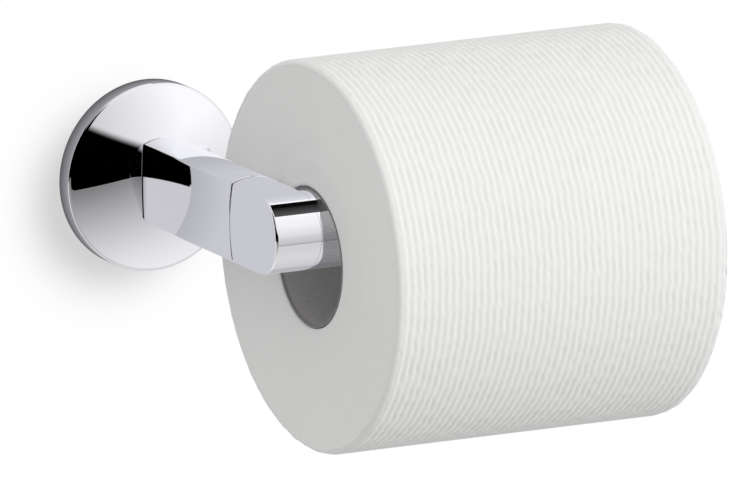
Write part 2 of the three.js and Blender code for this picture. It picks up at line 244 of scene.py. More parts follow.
def make_flange(material):
    """Domed escutcheon with a thin rim, hollow behind, with its hub and bush seat."""
    rim = rounded(
        [
            (CAVITY_RADIUS, 0, 0.3),
            (FLANGE_RADIUS, 0, 0.35),
            (FLANGE_RADIUS, RIM_DEPTH, EDGE),
            (FLANGE_RADIUS - 2, float(dome_depth(FLANGE_RADIUS - 2)), 0),
        ],
        steps=8,
    )[:-1]
    face = [(r, float(dome_depth(r))) for r in np.linspace(DOME_EDGE - 0.3, SPIGOT_RADIUS + 0.5, 70)]
    mouth = SPIGOT_RADIUS + 0.3
    inner = dome_depth(HUB_RADIUS, -FLANGE_WALL)
    hub = rounded(
        [
            (mouth, float(dome_depth(mouth)), 0.15),
            (mouth, BUSH_SHOULDER, 0),
            (BUSH_SEAT, BUSH_SHOULDER, 0),
            (BUSH_SEAT, HUB_BACK, 0.2),
            (HUB_RADIUS, HUB_BACK, 0.4),
            (HUB_RADIUS, float(inner), 0),
        ]
    )
    ceiling = [
        (r, float(dome_depth(r, -FLANGE_WALL)))
        for r in np.linspace(HUB_RADIUS + 0.5, CAVITY_RADIUS - 0.8, 30)
    ]
    outline = [*rim, *face, *hub, *ceiling, (CAVITY_RADIUS, 4.2)]
    flange = skin("flange_shell", round_wall(outline, 320), closed=True)
    carve(flange, grub_hole())
    keep_edges(flange)
    return finish_piece(flange, "wall_mount", "chrome_flange", material, "flange")


GRUB_DEPTH = -sum(cad_range("flange_grub_screw", "y")) / 2


def grub_hole():
    """Cutter for the tapped hole up through the underside of the rim."""
    hole, mouth, segments = 1.6, 1.85, 48
    outline = [
        (mouth, -FLANGE_RADIUS - 1),
        (mouth, -FLANGE_RADIUS + 0.1),
        (hole, -FLANGE_RADIUS + 0.35),
        (hole, -CAVITY_RADIUS + 2),
    ]
    turn = angles(segments) + 0.03  # keeps its points off the flange's own, for a clean cut
    rings = [
        np.stack([r * np.cos(turn), r * np.sin(turn) - GRUB_DEPTH, np.full(segments, z)], axis=1)
        for r, z in outline
    ]
    return skin("grub_hole_cutter", rings, poles=(True, True))


# ---------- post: neck and arm head ----------

POST_HALF_WIDTH = POST_SIDE - SIDE_CROWN
POST_HALF_HEIGHT = POST_TOP - TOP_CROWN


def crowned_side(start, end, crown, count):
    """Points on a shallow arc that bulges to the right of start -> end, short of both ends."""
    start, end = np.array(start), np.array(end)
    along = end - start
    half = np.linalg.norm(along) / 2
    out = np.array((along[1], -along[0])) / (2 * half)
    radius = (half**2 + crown**2) / (2 * crown)
    offsets = (half - EDGE) * np.sin(np.linspace(-math.pi / 2, math.pi / 2, count))
    heights = np.sqrt(radius**2 - offsets**2) - (radius - crown)
    middle = (start + end) / 2
    return middle + np.outer(offsets, along / (2 * half)) + np.outer(heights, out)


def post_section(inset=0.0):
    """The post's outline in (x, z): four crowned sides with softened corners."""
    w, h = POST_HALF_WIDTH, POST_HALF_HEIGHT
    corners = [(-w, -h), (w, -h), (w, h), (-w, h)]
    crowns = [TOP_CROWN, SIDE_CROWN, TOP_CROWN, SIDE_CROWN]
    sides = [crowned_side(corners[i], corners[(i + 1) % 4], crowns[i], 36) for i in range(4)]
    outline = []
    for i in range(4):
        outline += list(sides[i])
        leave, corner, arrive = sides[i][-1], np.array(corners[(i + 1) % 4]), sides[(i + 1) % 4][0]
        for t in np.linspace(0, 1, 8)[1:-1]:
            outline.append((1 - t) ** 2 * leave + 2 * t * (1 - t) * corner + t * t * arrive)
    outline = np.array(outline)
    ahead = np.roll(outline, -1, axis=0) - np.roll(outline, 1, axis=0)
    outward_2d = np.stack([ahead[:, 1], -ahead[:, 0]], axis=1)
    outward_2d /= np.linalg.norm(outward_2d, axis=1)[:, None]
    return outline - inset * outward_2d


def make_neck(material):
    """Post from the dome to the seam, with its spigot, keyed end and stepped bore."""
    section = post_section()
    turn = np.arctan2(section[:, 1], section[:, 0])
    way = np.stack([np.cos(turn), np.sin(turn)], axis=1)
    rings = []

    def ring(shape, depth):
        depths = np.broadcast_to(depth, len(shape))
        rings.append(np.stack([shape[:, 0], -depths, shape[:, 1]], axis=1))

    bore, counterbore, counterbore_end = 3.1, 4.6, 28
    key_radius, key_flat, key_end, chamfer = 4.7, 3.9, 5.1, 0.2
    keyed = np.minimum(key_radius, key_flat / np.maximum(np.abs(np.sin(turn)), 1e-6))[:, None]
    ring(bore * way, NECK_END)
    ring((keyed - chamfer) * way, NECK_END)
    ring(keyed * way, NECK_END + chamfer)
    ring(keyed * way, key_end)
    ring(SPIGOT_RADIUS * way, key_end)
    ring(SPIGOT_RADIUS * way, dome_depth(SPIGOT_RADIUS) + DOME_GAP)
    foot_edge = 0.03
    for t in np.linspace(0.1, 1, 12):
        shape = SPIGOT_RADIUS * way * (1 - t) + post_section(foot_edge) * t
        ring(shape, dome_depth(np.hypot(*shape.T)) + DOME_GAP)
    ring(section, dome_depth(np.hypot(*section.T)) + DOME_GAP + foot_edge)
    clear_of_dome, straight_end = 14.5, SEAM_NECK - SEAM_EDGE
    for depth in (clear_of_dome, clear_of_dome + 0.3, straight_end - 0.3, straight_end):
        ring(section, depth)
    for t in np.linspace(0, 1, 6)[1:] * math.pi / 2:
        ring(post_section(SEAM_EDGE * (1 - math.cos(t))), SEAM_NECK - SEAM_EDGE * (1 - math.sin(t)))
    ring(post_section(SEAM_EDGE + 0.3), SEAM_NECK)
    ring(counterbore * way, SEAM_NECK)
    ring(counterbore * way, counterbore_end)
    ring(bore * way, counterbore_end)
    neck = keep_edges(skin("neck_post", rings, closed=True))
    return finish_piece(neck, "arm", "chrome_post", material, "neck")


def both(a, b, radius):
    """Distance to where two solids overlap, with the edge between them rounded."""
    corner = np.hypot(np.maximum(a + radius, 0), np.maximum(b + radius, 0))
    return np.minimum(np.maximum(a, b), -radius) + corner


# The head's top and bottom slope from a point (depth HEAD_BACK, height HEAD_RISE) just behind
# the seam to where they touch the bar's round, at the angle TANGENT round it.
HEAD_RISE = POST_TOP + 0.2
HEAD_BACK = (SEAM_NECK + SEAM_HEAD) / 2 - 2
HEAD_REACH = math.hypot(BAR_DEPTH - HEAD_BACK, HEAD_RISE)
TANGENT = math.atan2(HEAD_RISE, HEAD_BACK - BAR_DEPTH) - math.acos(BAR_RADIUS / HEAD_REACH)


def head_distance(points):
    """Signed distance to the arm head's outside, for points as (x, depth, z) columns."""
    x, depth, z = np.moveaxis(points, -1, 0)
    w, h = POST_HALF_WIDTH, POST_HALF_HEIGHT
    side_radius = (h**2 + SIDE_CROWN**2) / (2 * SIDE_CROWN)
    top_radius = (w**2 + TOP_CROWN**2) / (2 * TOP_CROWN)
    sides = np.hypot(np.abs(x) + side_radius - POST_SIDE, z) - side_radius
    crowns = np.hypot(x, np.abs(z) + top_radius - POST_TOP) - top_radius
    ahead = depth - BAR_DEPTH
    nose = np.hypot(ahead, z) - BAR_RADIUS
    slopes = ahead * math.cos(TANGENT) + np.abs(z) * math.sin(TANGENT) - BAR_RADIUS
    outline = np.where(np.arctan2(np.abs(z), ahead) < TANGENT, nose, slopes)
    elbow = both(both(both(crowns, outline, 0.2), sides, EDGE), SEAM_HEAD - depth, SEAM_EDGE)
    return np.minimum(elbow, np.maximum(nose, -x))


def slope_of(distance, points, step=1e-3):
    """Unit gradient of a distance function."""
    gradient = []
    for axis in range(3):
        shift = np.zeros(3)
        shift[axis] = step
        gradient.append(distance(points + shift) - distance(points - shift))
    gradient = np.stack(gradient, axis=-1)
    return gradient / np.maximum(np.linalg.norm(gradient, axis=-1, keepdims=True), 1e-12)


def settle(distance, points, passes=12):
    """Moves points along the gradient until they lie on the surface."""
    for _ in range(passes):
        points = points - distance(points)[..., None] * slope_of(distance, points)
    return points


def bunched(start, end, count):
    """Values from start to just before end, closer together towards both."""
    t = np.linspace(0, 1, count, endpoint=False)
    return start + (end - start) * (1 - np.cos(math.pi * t)) / 2


def make_arm_head(material):
    """Elbow casting: crowned post section, sloped top and bottom, round nose, and the first
    stretch of the bar with the spigot that the tube slides on."""
    w, h = POST_HALF_WIDTH, POST_HALF_HEIGHT
    corner = math.atan2(HEAD_RISE - 0.3, SEAM_HEAD - BAR_DEPTH)
    turn = np.concatenate(
        [
            bunched(-TANGENT, TANGENT, 130),
            bunched(TANGENT, corner, 80),
            bunched(corner, 2 * math.pi - corner, 80),
            bunched(2 * math.pi - corner, 2 * math.pi - TANGENT, 80),
        ]
    )
    ahead, up = np.cos(turn), np.sin(turn)
    fold = np.abs(np.where(turn > math.pi, 2 * math.pi - turn, turn))
    to_slope = BAR_RADIUS / np.maximum(ahead * math.cos(TANGENT) + np.abs(up) * math.sin(TANGENT), 1e-3)
    to_seam = (BAR_DEPTH - SEAM_HEAD) / np.maximum(-ahead, 1e-6)
    edge = np.where(fold < TANGENT, BAR_RADIUS, np.minimum(to_slope, to_seam))
    rim = np.minimum(edge, h / np.maximum(np.abs(up), 1e-6))

    def crown(z, height, half):
        return height * np.maximum(1 - (z / half) ** 2, 0)

    near = np.concatenate([[1.2, 0.95, 0.75, 0.6], np.linspace(0.5, 0, 14)])  # in from an edge
    lip, flare, middle_start = 0.1, 1.4, 1.5
    rows = []

    def row(reach, x):
        reach = np.broadcast_to(reach, turn.shape)
        x = np.broadcast_to(x, turn.shape)
        rows.append(np.stack([x, BAR_DEPTH + reach * ahead, reach * up], axis=1))

    def side_x(reach):
        return w + crown(reach * up, SIDE_CROWN, h)

    for t in np.linspace(0.02, 1, 24, endpoint=False):
        reach = t * (rim - near[0])
        row(reach, -side_x(reach))
    for back in near:
        row(rim - back, -side_x(rim - back))
    middle_rows = np.linspace(-w + middle_start, w - middle_start, 22)
    for x in np.concatenate([-w + near[::-1][1:], middle_rows, w - near[:-1]]):
        limit = (h + crown(x, TOP_CROWN, w)) / np.maximum(np.abs(up), 1e-6)
        row(np.minimum(edge, limit), x)
    for back in near[::-1]:
        row(edge - np.minimum(back, edge - BAR_RADIUS), side_x(edge) + lip * (near[0] - back) / near[0])
    for t in np.linspace(0, 1, 14)[1:]:
        row(edge + (BAR_RADIUS - edge) * t, side_x(edge) + lip + flare * t)
    rows = settle(head_distance, np.array(rows))
    normals = slope_of(head_distance, rows)
    joint, plug = TUBE_START - 0.1, TUBE_BORE - 0.1
    stub = rounded(
        [
            (BAR_RADIUS, POST_SIDE + 2.2, 0),
            (BAR_RADIUS, joint, 0.3),
            (plug, joint, 0),
            (plug, HEAD_END - 1, 0.4),
            (TUBE_BORE - 1, HEAD_END, 0.3),
            (1, HEAD_END, 0),
        ],
        steps=4,
    )
    rings = [
        np.stack([np.full(len(turn), x), BAR_DEPTH + radius * ahead, radius * up], axis=1)
        for radius, x in stub
    ]
    everything = np.concatenate([rows, np.array(rings)])
    everything[..., 1] *= -1
    middle = (-POST_SIDE, -BAR_DEPTH, 0)
    head = skin("arm_head_casting", everything, poles=(middle, True))
    normals[..., 1] *= -1
    spread = np.zeros((len(head.data.vertices), 3))
    spread[: rows.shape[0] * len(turn)] = normals.reshape(-1, 3)
    spread[-2] = (-1, 0, 0)
    head.data.set_sharp_from_angle(angle=math.radians(50))
    head.data.normals_split_custom_set_from_vertices([tuple(n) for n in spread])
    return finish_piece(head, "arm", "chrome_post", material, "arm_head")


# ---------- bar ----------


def make_arm_bar(material):
    """Seamless tube pushed over the head's spigot."""
    outline = rounded(
        [
            (TUBE_BORE, TUBE_START, 0.2),
            (BAR_RADIUS, TUBE_START, 0.3),
            (BAR_RADIUS, TUBE_END, 0.3),
            (TUBE_BORE, TUBE_END, 0.2),
        ],
        closed=True,
    )
    bar = keep_edges(skin("bar_tube", round_bar(outline, 256), closed=True))
    return finish_piece(bar, "arm", "chrome_bar", material, "arm_bar")


def make_end_cap(material):
    """Push-in cap with a slightly domed face, on a plug grooved for its rubber ring."""
    ring_low, ring_high = cad_range("end_cap_ring", "x")
    middle = (ring_low + ring_high) / 2
    back = TUBE_END + 0.1
    plug, groove, half_groove, dome = 9.6, 8.2, 1.1, 0.25
    face_radius = BAR_RADIUS - 1.4
    corners = [
        (0, CAP_START, 0),
        (plug - 1, CAP_START, 0.3),
        (plug, CAP_START + 1, 0.3),
        (plug, middle - half_groove, 0.1),
        (groove, middle - half_groove, 0.2),
        (groove, middle + half_groove, 0.2),
        (plug, middle + half_groove, 0.1),
        (plug, back, 0),
        (BAR_RADIUS, back, 0.3),
        (BAR_RADIUS, CAP_END - 2 * dome, 0.9),
        (face_radius, CAP_END - dome, 0),
    ]
    outline = list(rounded(corners, steps=6))[1:]
    outline += [(r, CAP_END - dome * (r / face_radius) ** 2) for r in np.linspace(10, 0.5, 14)]
    rings = round_bar(outline, 256)
    cap = keep_edges(skin("bar_end_cap", rings, poles=(True, True)))
    return finish_piece(cap, "arm", "chrome_bar", material, "end_cap")


# ---------- roll ----------


def waves(rng, count, low, high, x_scale):
    """Random smooth waves round the roll: whole-number turns, so that they meet."""
    turns = rng.integers(low, high, count)
    along = rng.normal(0, x_scale, count)
    phases = rng.uniform(0, 2 * math.pi, count)

    def value(turn, x):
        total = np.zeros(np.broadcast(turn, x).shape)
        for n, k, phase in zip(turns, along, phases):
            total += np.sin(n * turn + k * x + phase)
        return total / math.sqrt(count)

    return value


def make_paper_roll(material):
    """Wound tissue: embossed wavy ribs round the outside, layers showing on the ends."""
    rng = np.random.default_rng(SEED)
    segments, pitch, rib = 520, 2.3, 0.52
    soft = 1.7  # radius of the outer corners
    sway, jitter, dent_depth, end_dip = 0.13, 0.07, 0.12, 0.12
    inner = CORE_OUTER + 0.1
    turn = angles(segments)[None, :]
    wander = waves(rng, 14, 6, 46, 0.22)
    uneven = waves(rng, 18, 46, 110, 0.9)
    patchy = waves(rng, 12, 12, 80, 0.7)
    dent = waves(rng, 7, 2, 7, 0.02)

    x = np.arange(ROLL_START + soft, ROLL_END - soft, 0.3)[:, None]
    drift = sway * wander(turn, x) + jitter * uneven(turn, x)
    phase = 2 * math.pi * (x + drift) / pitch
    ridge = (0.5 + 0.5 * np.cos(phase)) ** 0.8
    height = rib * (ridge - 1) * (0.78 + 0.2 * patchy(turn, x))
    side_radius = ROLL_RADIUS + height + dent_depth * (dent(turn, x) - 2)
    rings = []

    def ring(radius, at):
        radius, at = np.broadcast_to(radius, segments), np.broadcast_to(at, segments)
        y = -BAR_DEPTH + radius * np.cos(turn[0])
        z = ROLL_Z + radius * np.sin(turn[0])
        rings.append(np.stack([at, y, z], axis=1))

    def end_face(at, inwards, edge_radius):
        """Rings out over one end: each layer sits a little in or out of its neighbour."""
        layers = 80
        levels = rng.normal(0, 0.022, layers)
        lift = waves(rng, 6, 1, 5, 0.4)
        radii = np.linspace(inner + 0.9, edge_radius, layers)
        for radius, level in zip(radii, levels):
            depth = 0.16 + 0.07 * lift(turn[0], np.array(radius))
            ring(radius, at + inwards * np.clip(depth + level, 0.02, 0.6))

    def shoulder(at, inwards, edge, reverse):
        """The soft outer corner, from the end face round to the ribbed side."""
        arc = np.linspace(0, math.pi / 2, 9)[1:-1]
        for t in reversed(arc) if reverse else arc:
            radius = edge - soft + soft * math.sin(t)
            ring(radius, at + inwards * (soft - soft * math.cos(t) + end_dip * math.cos(t)))

    ring(inner, ROLL_START + 1.0)
    ring(inner + 0.25, ROLL_START + 0.45)
    end_face(ROLL_START, 1, ROLL_RADIUS - soft)
    shoulder(ROLL_START, 1, side_radius[0], False)
    for radius, at in zip(side_radius, x[:, 0]):
        ring(radius, at)
    shoulder(ROLL_END, -1, side_radius[-1], True)
    count = len(rings)
    end_face(ROLL_END, -1, ROLL_RADIUS - soft)
    rings[count:] = rings[count:][::-1]
    ring(inner + 0.25, ROLL_END - 0.45)
    ring(inner, ROLL_END - 1.0)
    roll = keep_edges(skin("tissue_roll", rings, closed=True), 80)
    roll.visible_glossy = False  # the polished parts mirror the bare studio
    return finish_piece(roll, "paper_roll", "tissue", material, "paper_roll")


def make_roll_core(material):
    """Cardboard tube wound from a strip, whose edge shows as a helical step."""
    segments, strip = 256, 62.0
    step_width, step_depth, worn_edge = 1.1, 0.14, 0.12
    turn = angles(segments)
    rings = []

    def ring(radius, at, dip):
        position = ((at / strip - turn / (2 * math.pi)) % 1) * strip
        groove = np.exp(-(((position - strip / 2) / step_width) ** 2))
        reach = radius + dip * step_depth * groove
        y = -BAR_DEPTH + reach * np.cos(turn)
        z = ROLL_Z + reach * np.sin(turn)
        rings.append(np.stack([np.full(segments, at), y, z], axis=1))

    along = np.linspace(CORE_START + 0.15, CORE_END - 0.15, 150)
    for at in along:
        ring(CORE_BORE + 0.01, at, 1)
    ring(CORE_BORE + worn_edge, CORE_END, 0)
    ring(CORE_OUTER - worn_edge, CORE_END, 0)
    for at in along[::-6]:
        ring(CORE_OUTER, at, 0)
    ring(CORE_OUTER - worn_edge, CORE_START, 0)
    ring(CORE_BORE + worn_edge, CORE_START, 0)
    core = keep_edges(skin("cardboard_core", rings, closed=True), 50)
    return finish_piece(core, "roll_core", "cardboard", material, "roll_core")


# ---------- materials ----------


class Graph:
    """Adds and links the nodes of one shader."""

    def __init__(self, tree):
        self.tree = tree
        tree.nodes.clear()

    def add(self, kind, inputs=None, **settings):
        node = self.tree.nodes.new(kind)
        for name, value in settings.items():
            setattr(node, name, value)
        for socket, value in (inputs or {}).items():
            self.feed(node.inputs[socket], value)
        return node

    def feed(self, target, value):
        if isinstance(value, bpy.types.NodeSocket):
            self.tree.links.new(value, target)
        else:
            target.default_value = value

    def math(self, operation, a, b=0.0, c=0.0):
        node = self.add("ShaderNodeMath", operation=operation)
        for socket, value in zip(node.inputs, (a, b, c)):
            self.feed(socket, value)
        return node.outputs[0]

    def remap(self, value, low, high, start, end, smooth=False):
        """Value from low..high to start..end, held at both ends."""
        kind = "SMOOTHSTEP" if smooth else "LINEAR"
        inputs = {"Value": value, "From Min": low, "From Max": high, "To Min": start, "To Max": end}
        return self.add("ShaderNodeMapRange", inputs, interpolation_type=kind).outputs[0]

    def noise(self, vector, scale, detail=3.0, roughness=0.5):
        inputs = {"Vector": vector, "Scale": scale, "Detail": detail, "Roughness": roughness}
        return self.add("ShaderNodeTexNoise", inputs).outputs["Fac"]

    def stretch(self, vector, scale, turn=(0, 0, 0)):
        inputs = {"Vector": vector, "Scale": scale, "Rotation": turn}
        return self.add("ShaderNodeMapping", inputs).outputs[0]

    def blend(self, factor, first, second):
        """Two colours mixed, or two tones of grey."""
        return self.add("ShaderNodeMix", {0: factor, 6: first, 7: second}, data_type="RGBA").outputs[2]

    def mix(self, factor, first, second):
        """Two plain numbers mixed, which may be negative."""
        return self.add("ShaderNodeMix", {0: factor, 2: first, 3: second}, data_type="FLOAT").outputs[0]

    def bump(self, height, strength, distance, normal=None):
        inputs = {"Height": height, "Strength": strength, "Distance": distance}
        if normal is not None:
            inputs["Normal"] = normal
        return self.add("ShaderNodeBump", inputs).outputs[0]


def surface(name, build, clear=None, **constants):
    """A material on one Principled shader: build(graph, place) gives its linked inputs, clear
    how transparent it is, and constants are set on its own sockets."""
    material = bpy.data.materials.new(name)
    material.use_nodes = True
    graph = Graph(material.node_tree)
    place = graph.add("ShaderNodeTexCoord").outputs["Object"]
    shader = graph.add("ShaderNodeBsdfPrincipled")
    for socket, value in constants.items():
        shader.inputs[socket.replace("_", " ")].default_value = value
    for socket, value in build(graph, place).items():
        graph.feed(shader.inputs[socket], value)
    if clear:
        mix = graph.add("ShaderNodeMixShader", {0: clear(graph, place)})
        graph.tree.links.new(shader.outputs[0], mix.inputs[1])
        graph.tree.links.new(graph.add("ShaderNodeBsdfTransparent").outputs[0], mix.inputs[2])
        shader = mix
    out = graph.add("ShaderNodeOutputMaterial")
    graph.tree.links.new(shader.outputs[0], out.inputs["Surface"])
    return material


def painted_round_bar_shade(graph):
    """Share of light by the way a surface faces: less just above the middle of the bar's front
    and towards its underside, and all of it on the post's flat sides."""
    normal = graph.add("ShaderNodeSeparateXYZ", {0: graph.add("ShaderNodeTexCoord").outputs["Normal"]})
    across, up = normal.outputs["X"], normal.outputs["Z"]
    front = graph.remap(up, 0.08, 0.38, 0.78, 1.0)
    under = graph.remap(up, -0.68, -0.23, 0.64, 1.0)
    tone = graph.mix(graph.math("LESS_THAN", up, -0.1), front, under)
    flat = graph.remap(graph.math("ABSOLUTE", across), 0.06, 0.25, 0.0, 1.0)
    return graph.mix(flat, tone, 1.0)


def chrome(name, painted_gap_shade=False, painted_bar_shade=False):
    """Bright plating, with a faint haze and the slight waviness that polishing leaves. The
    post's spigot can have painted shade, near black, where it enters the flange, and the bar
    painted shade on some sides."""
    # painted shade: near-black colour for the spigot where it sits in the gap under the dome
    gap_shade_colour = (0.02, 0.018, 0.015, 1)

    def build(graph, place):
        cloud = graph.noise(place, 55, 2)
        haze = graph.noise(place, 900, 4, 0.6)
        wipe = graph.noise(graph.stretch(place, (260, 260, 2600)), 1.0, 2)
        colour = graph.blend(cloud, (0.872, 0.872, 0.906, 1), (0.896, 0.896, 0.926, 1))
        # painted shade: the spigot is painted near black inside the dome's mouth, where the gap is in
        # shade
        if painted_gap_shade:
            spot = graph.add("ShaderNodeSeparateXYZ", {0: place})
            x_squared = graph.math("POWER", spot.outputs["X"], 2.0)
            z_squared = graph.math("POWER", spot.outputs["Z"], 2.0)
            radius = graph.math("SQRT", graph.math("ADD", x_squared, z_squared))
            inside = graph.math("LESS_THAN", radius, (SPIGOT_RADIUS + 0.2) * MM)
            behind = graph.math("GREATER_THAN", spot.outputs["Y"], -(RIM_DEPTH + DOME_RISE + 0.6) * MM)
            colour = graph.blend(graph.math("MULTIPLY", inside, behind), colour, gap_shade_colour)
        # painted shade: the chrome colour is scaled down by the way the surface faces
        if painted_bar_shade:
            inputs = {0: colour, 3: painted_round_bar_shade(graph)}
            colour = graph.add("ShaderNodeVectorMath", inputs, operation="SCALE").outputs["Vector"]
        haze = graph.remap(haze, 0.45, 0.8, 0.012, 0.03)
        wipe = graph.remap(wipe, 0.55, 0.8, 0.0, 0.012)
        return {
            "Base Color": colour,
            "Roughness": graph.math("ADD", haze, wipe),
            "Normal": graph.bump(cloud, 0.04, 0.00004),
        }

    return surface(name, build, Metallic=1.0)


def tissue():
    """Soft uncoated tissue: short fibres, faint clouding, darker specks and a little sheen."""

    def build(graph, place):
        fibre = graph.noise(graph.stretch(place, (1500, 5200, 5200)), 1.0, 5, 0.7)
        pulp = graph.noise(place, 420, 4, 0.6)
        cloud = graph.noise(place, 24, 2)
        tint = graph.blend(cloud, (0.80, 0.795, 0.785, 1), (0.84, 0.835, 0.825, 1))
        speck = graph.remap(pulp, 0.62, 0.8, 0.0, 0.3)
        soft = graph.bump(pulp, 0.5, 0.00012)
        return {
            "Base Color": graph.blend(speck, tint, (0.74, 0.735, 0.725, 1)),
            "Roughness": graph.remap(fibre, 0.3, 0.7, 0.88, 1.0),
            "Normal": graph.bump(fibre, 0.6, 0.00007, soft),
        }

    return surface("tissue_paper", build, Specular_IOR_Level=0.2, Sheen_Weight=0.15, Sheen_Roughness=0.6)


def cardboard():
    """Grey recycled board with long fibres that follow the winding."""

    def build(graph, place):
        fibre = graph.noise(graph.stretch(place, (500, 3000, 3000), (0.5, 0, 0)), 1.0, 5, 0.7)
        flake = graph.noise(place, 700, 5, 0.7)
        tint = graph.blend(fibre, (0.345, 0.336, 0.323, 1), (0.49, 0.48, 0.464, 1))
        tint = graph.blend(graph.remap(flake, 0.55, 0.75, 0.0, 0.6), tint, (0.22, 0.215, 0.205, 1))
        # painted shade: the board is darkened towards both cut ends of the core, which sit back inside
        # the roll
        along = graph.add("ShaderNodeSeparateXYZ", {0: place}).outputs["X"]
        near_end = graph.remap(along, (CORE_START + 0.3) * MM, (CORE_START + 1.2) * MM, 1.0, 0.0)
        far_end = graph.remap(along, (CORE_END - 1.2) * MM, (CORE_END - 0.3) * MM, 0.0, 1.0)
        end_shade = graph.math("MULTIPLY", graph.math("MAXIMUM", near_end, far_end), 0.6)
        return {
            "Base Color": graph.blend(end_shade, tint, (0.1, 0.098, 0.094, 1)),
            "Roughness": graph.remap(flake, 0.3, 0.7, 0.8, 0.95),
            "Normal": graph.bump(fibre, 0.5, 0.00008),
        }

    return surface("recycled_board", build, hidden_in_mirrors, Specular_IOR_Level=0.3)


MIRRORED_SHARE = 0.45  # how much of the core shows in the bar
MIRRORED_FROM = 0.0137  # where the mirrored core starts at the roll's axis, metres
MIRRORED_TILT = 0.255  # it starts sooner higher up, which makes it square on the bar
MIRRORED_REACH = 0.03  # the longest way from the bar to the core, metres


def hidden_in_mirrors(graph, place):
    """How far the core is left out of reflections: fully, apart from its bore seen in the bar."""
    spot = graph.add("ShaderNodeSeparateXYZ", {0: place})
    height = graph.math("SUBTRACT", spot.outputs["Z"], ROLL_Z * MM)
    along = graph.math("MULTIPLY_ADD", height, MIRRORED_TILT, spot.outputs["X"])
    path = graph.add("ShaderNodeLightPath")
    inside = graph.math("GREATER_THAN", along, MIRRORED_FROM)
    close = graph.math("LESS_THAN", path.outputs["Ray Length"], MIRRORED_REACH)
    first = graph.math("LESS_THAN", path.outputs["Ray Depth"], 1.5)
    shown = graph.math("MULTIPLY", graph.math("MULTIPLY", inside, close), first)
    left_out = graph.math("MULTIPLY_ADD", shown, -MIRRORED_SHARE, 1.0)
    return graph.math("MULTIPLY", path.outputs["Is Glossy Ray"], left_out)


def worked_metal(name, dark, light, low, high, grain):
    """Plain metal with a blotched plated or oiled surface and fine tool marks."""

    def build(graph, place):
        blotch = graph.noise(place, 260, 4, 0.6)
        marks = graph.noise(graph.stretch(place, (grain, 400, grain)), 1.0, 3, 0.6)
        return {
            "Base Color": graph.blend(blotch, dark, light),
            "Roughness": graph.remap(marks, 0.3, 0.7, low, high),
            "Normal": graph.bump(marks, 0.25, 0.00003),
        }

    return surface(name, build, Metallic=1.0)


def moulded(name, dark, light, low, high, **constants):
    """Moulded plastic or rubber with a fine spark-eroded texture."""

    def build(graph, place):
        cloud = graph.noise(place, 90, 3)
        texture = graph.noise(place, 3200, 3, 0.6)
        return {
            "Base Color": graph.blend(cloud, dark, light),
            "Roughness": graph.remap(texture, 0.3, 0.7, low, high),
            "Normal": graph.bump(texture, 0.3, 0.00003),
        }

    return surface(name, build, **constants)


def dress(material, *nodes):
    """Gives CAD nodes that stay in view their material."""
    for node in nodes:
        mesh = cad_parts[node].data
        mesh.materials.clear()
        mesh.materials.append(material)


# ---------- studio ----------


def stage_plane(name, centre, across, up, material):
    """A stage rectangle about centre, spanned by two half-edge vectors, in metres."""
    centre, across, up = Vector(centre), Vector(across), Vector(up)
    corners = [centre - across - up, centre + across - up, centre + across + up, centre - across + up]
    mesh = bpy.data.meshes.new(name)
    mesh.from_pydata(corners, [], [(0, 1, 2, 3)])
    mesh.materials.append(material)
    plane = bpy.data.objects.new(name, mesh)
    bpy.context.scene.collection.objects.link(plane)
    return plane


def floor_material():
    def build(graph, place):
        cloud = graph.noise(place, 1.5, 2)
        return {"Base Color": graph.blend(cloud, (0.6, 0.6, 0.6, 1), (0.63, 0.63, 0.63, 1))}

    return surface("pale_floor", build, Roughness=0.9, Specular_IOR_Level=0.1)


WALL_MIRRORED_TOP = 0.23  # the chrome sees the wall up to here and the studio above it, metres
WALL_MIRRORED_TONE = (0.638, 0.638, 0.675, 1)
CORNER_REACH = (0.0005, 0.0065, 0.018)  # ways from the chrome to the wall that darken it, metres
SHADOW_CENTRE = (-0.0098, 0, -0.0063)  # the flange's shadow: its place and sizes in metres
SHADOW_RADIUS = 0.018
SHADOW_BLUR = 0.0115
SHADOW_DEPTH = 0.36


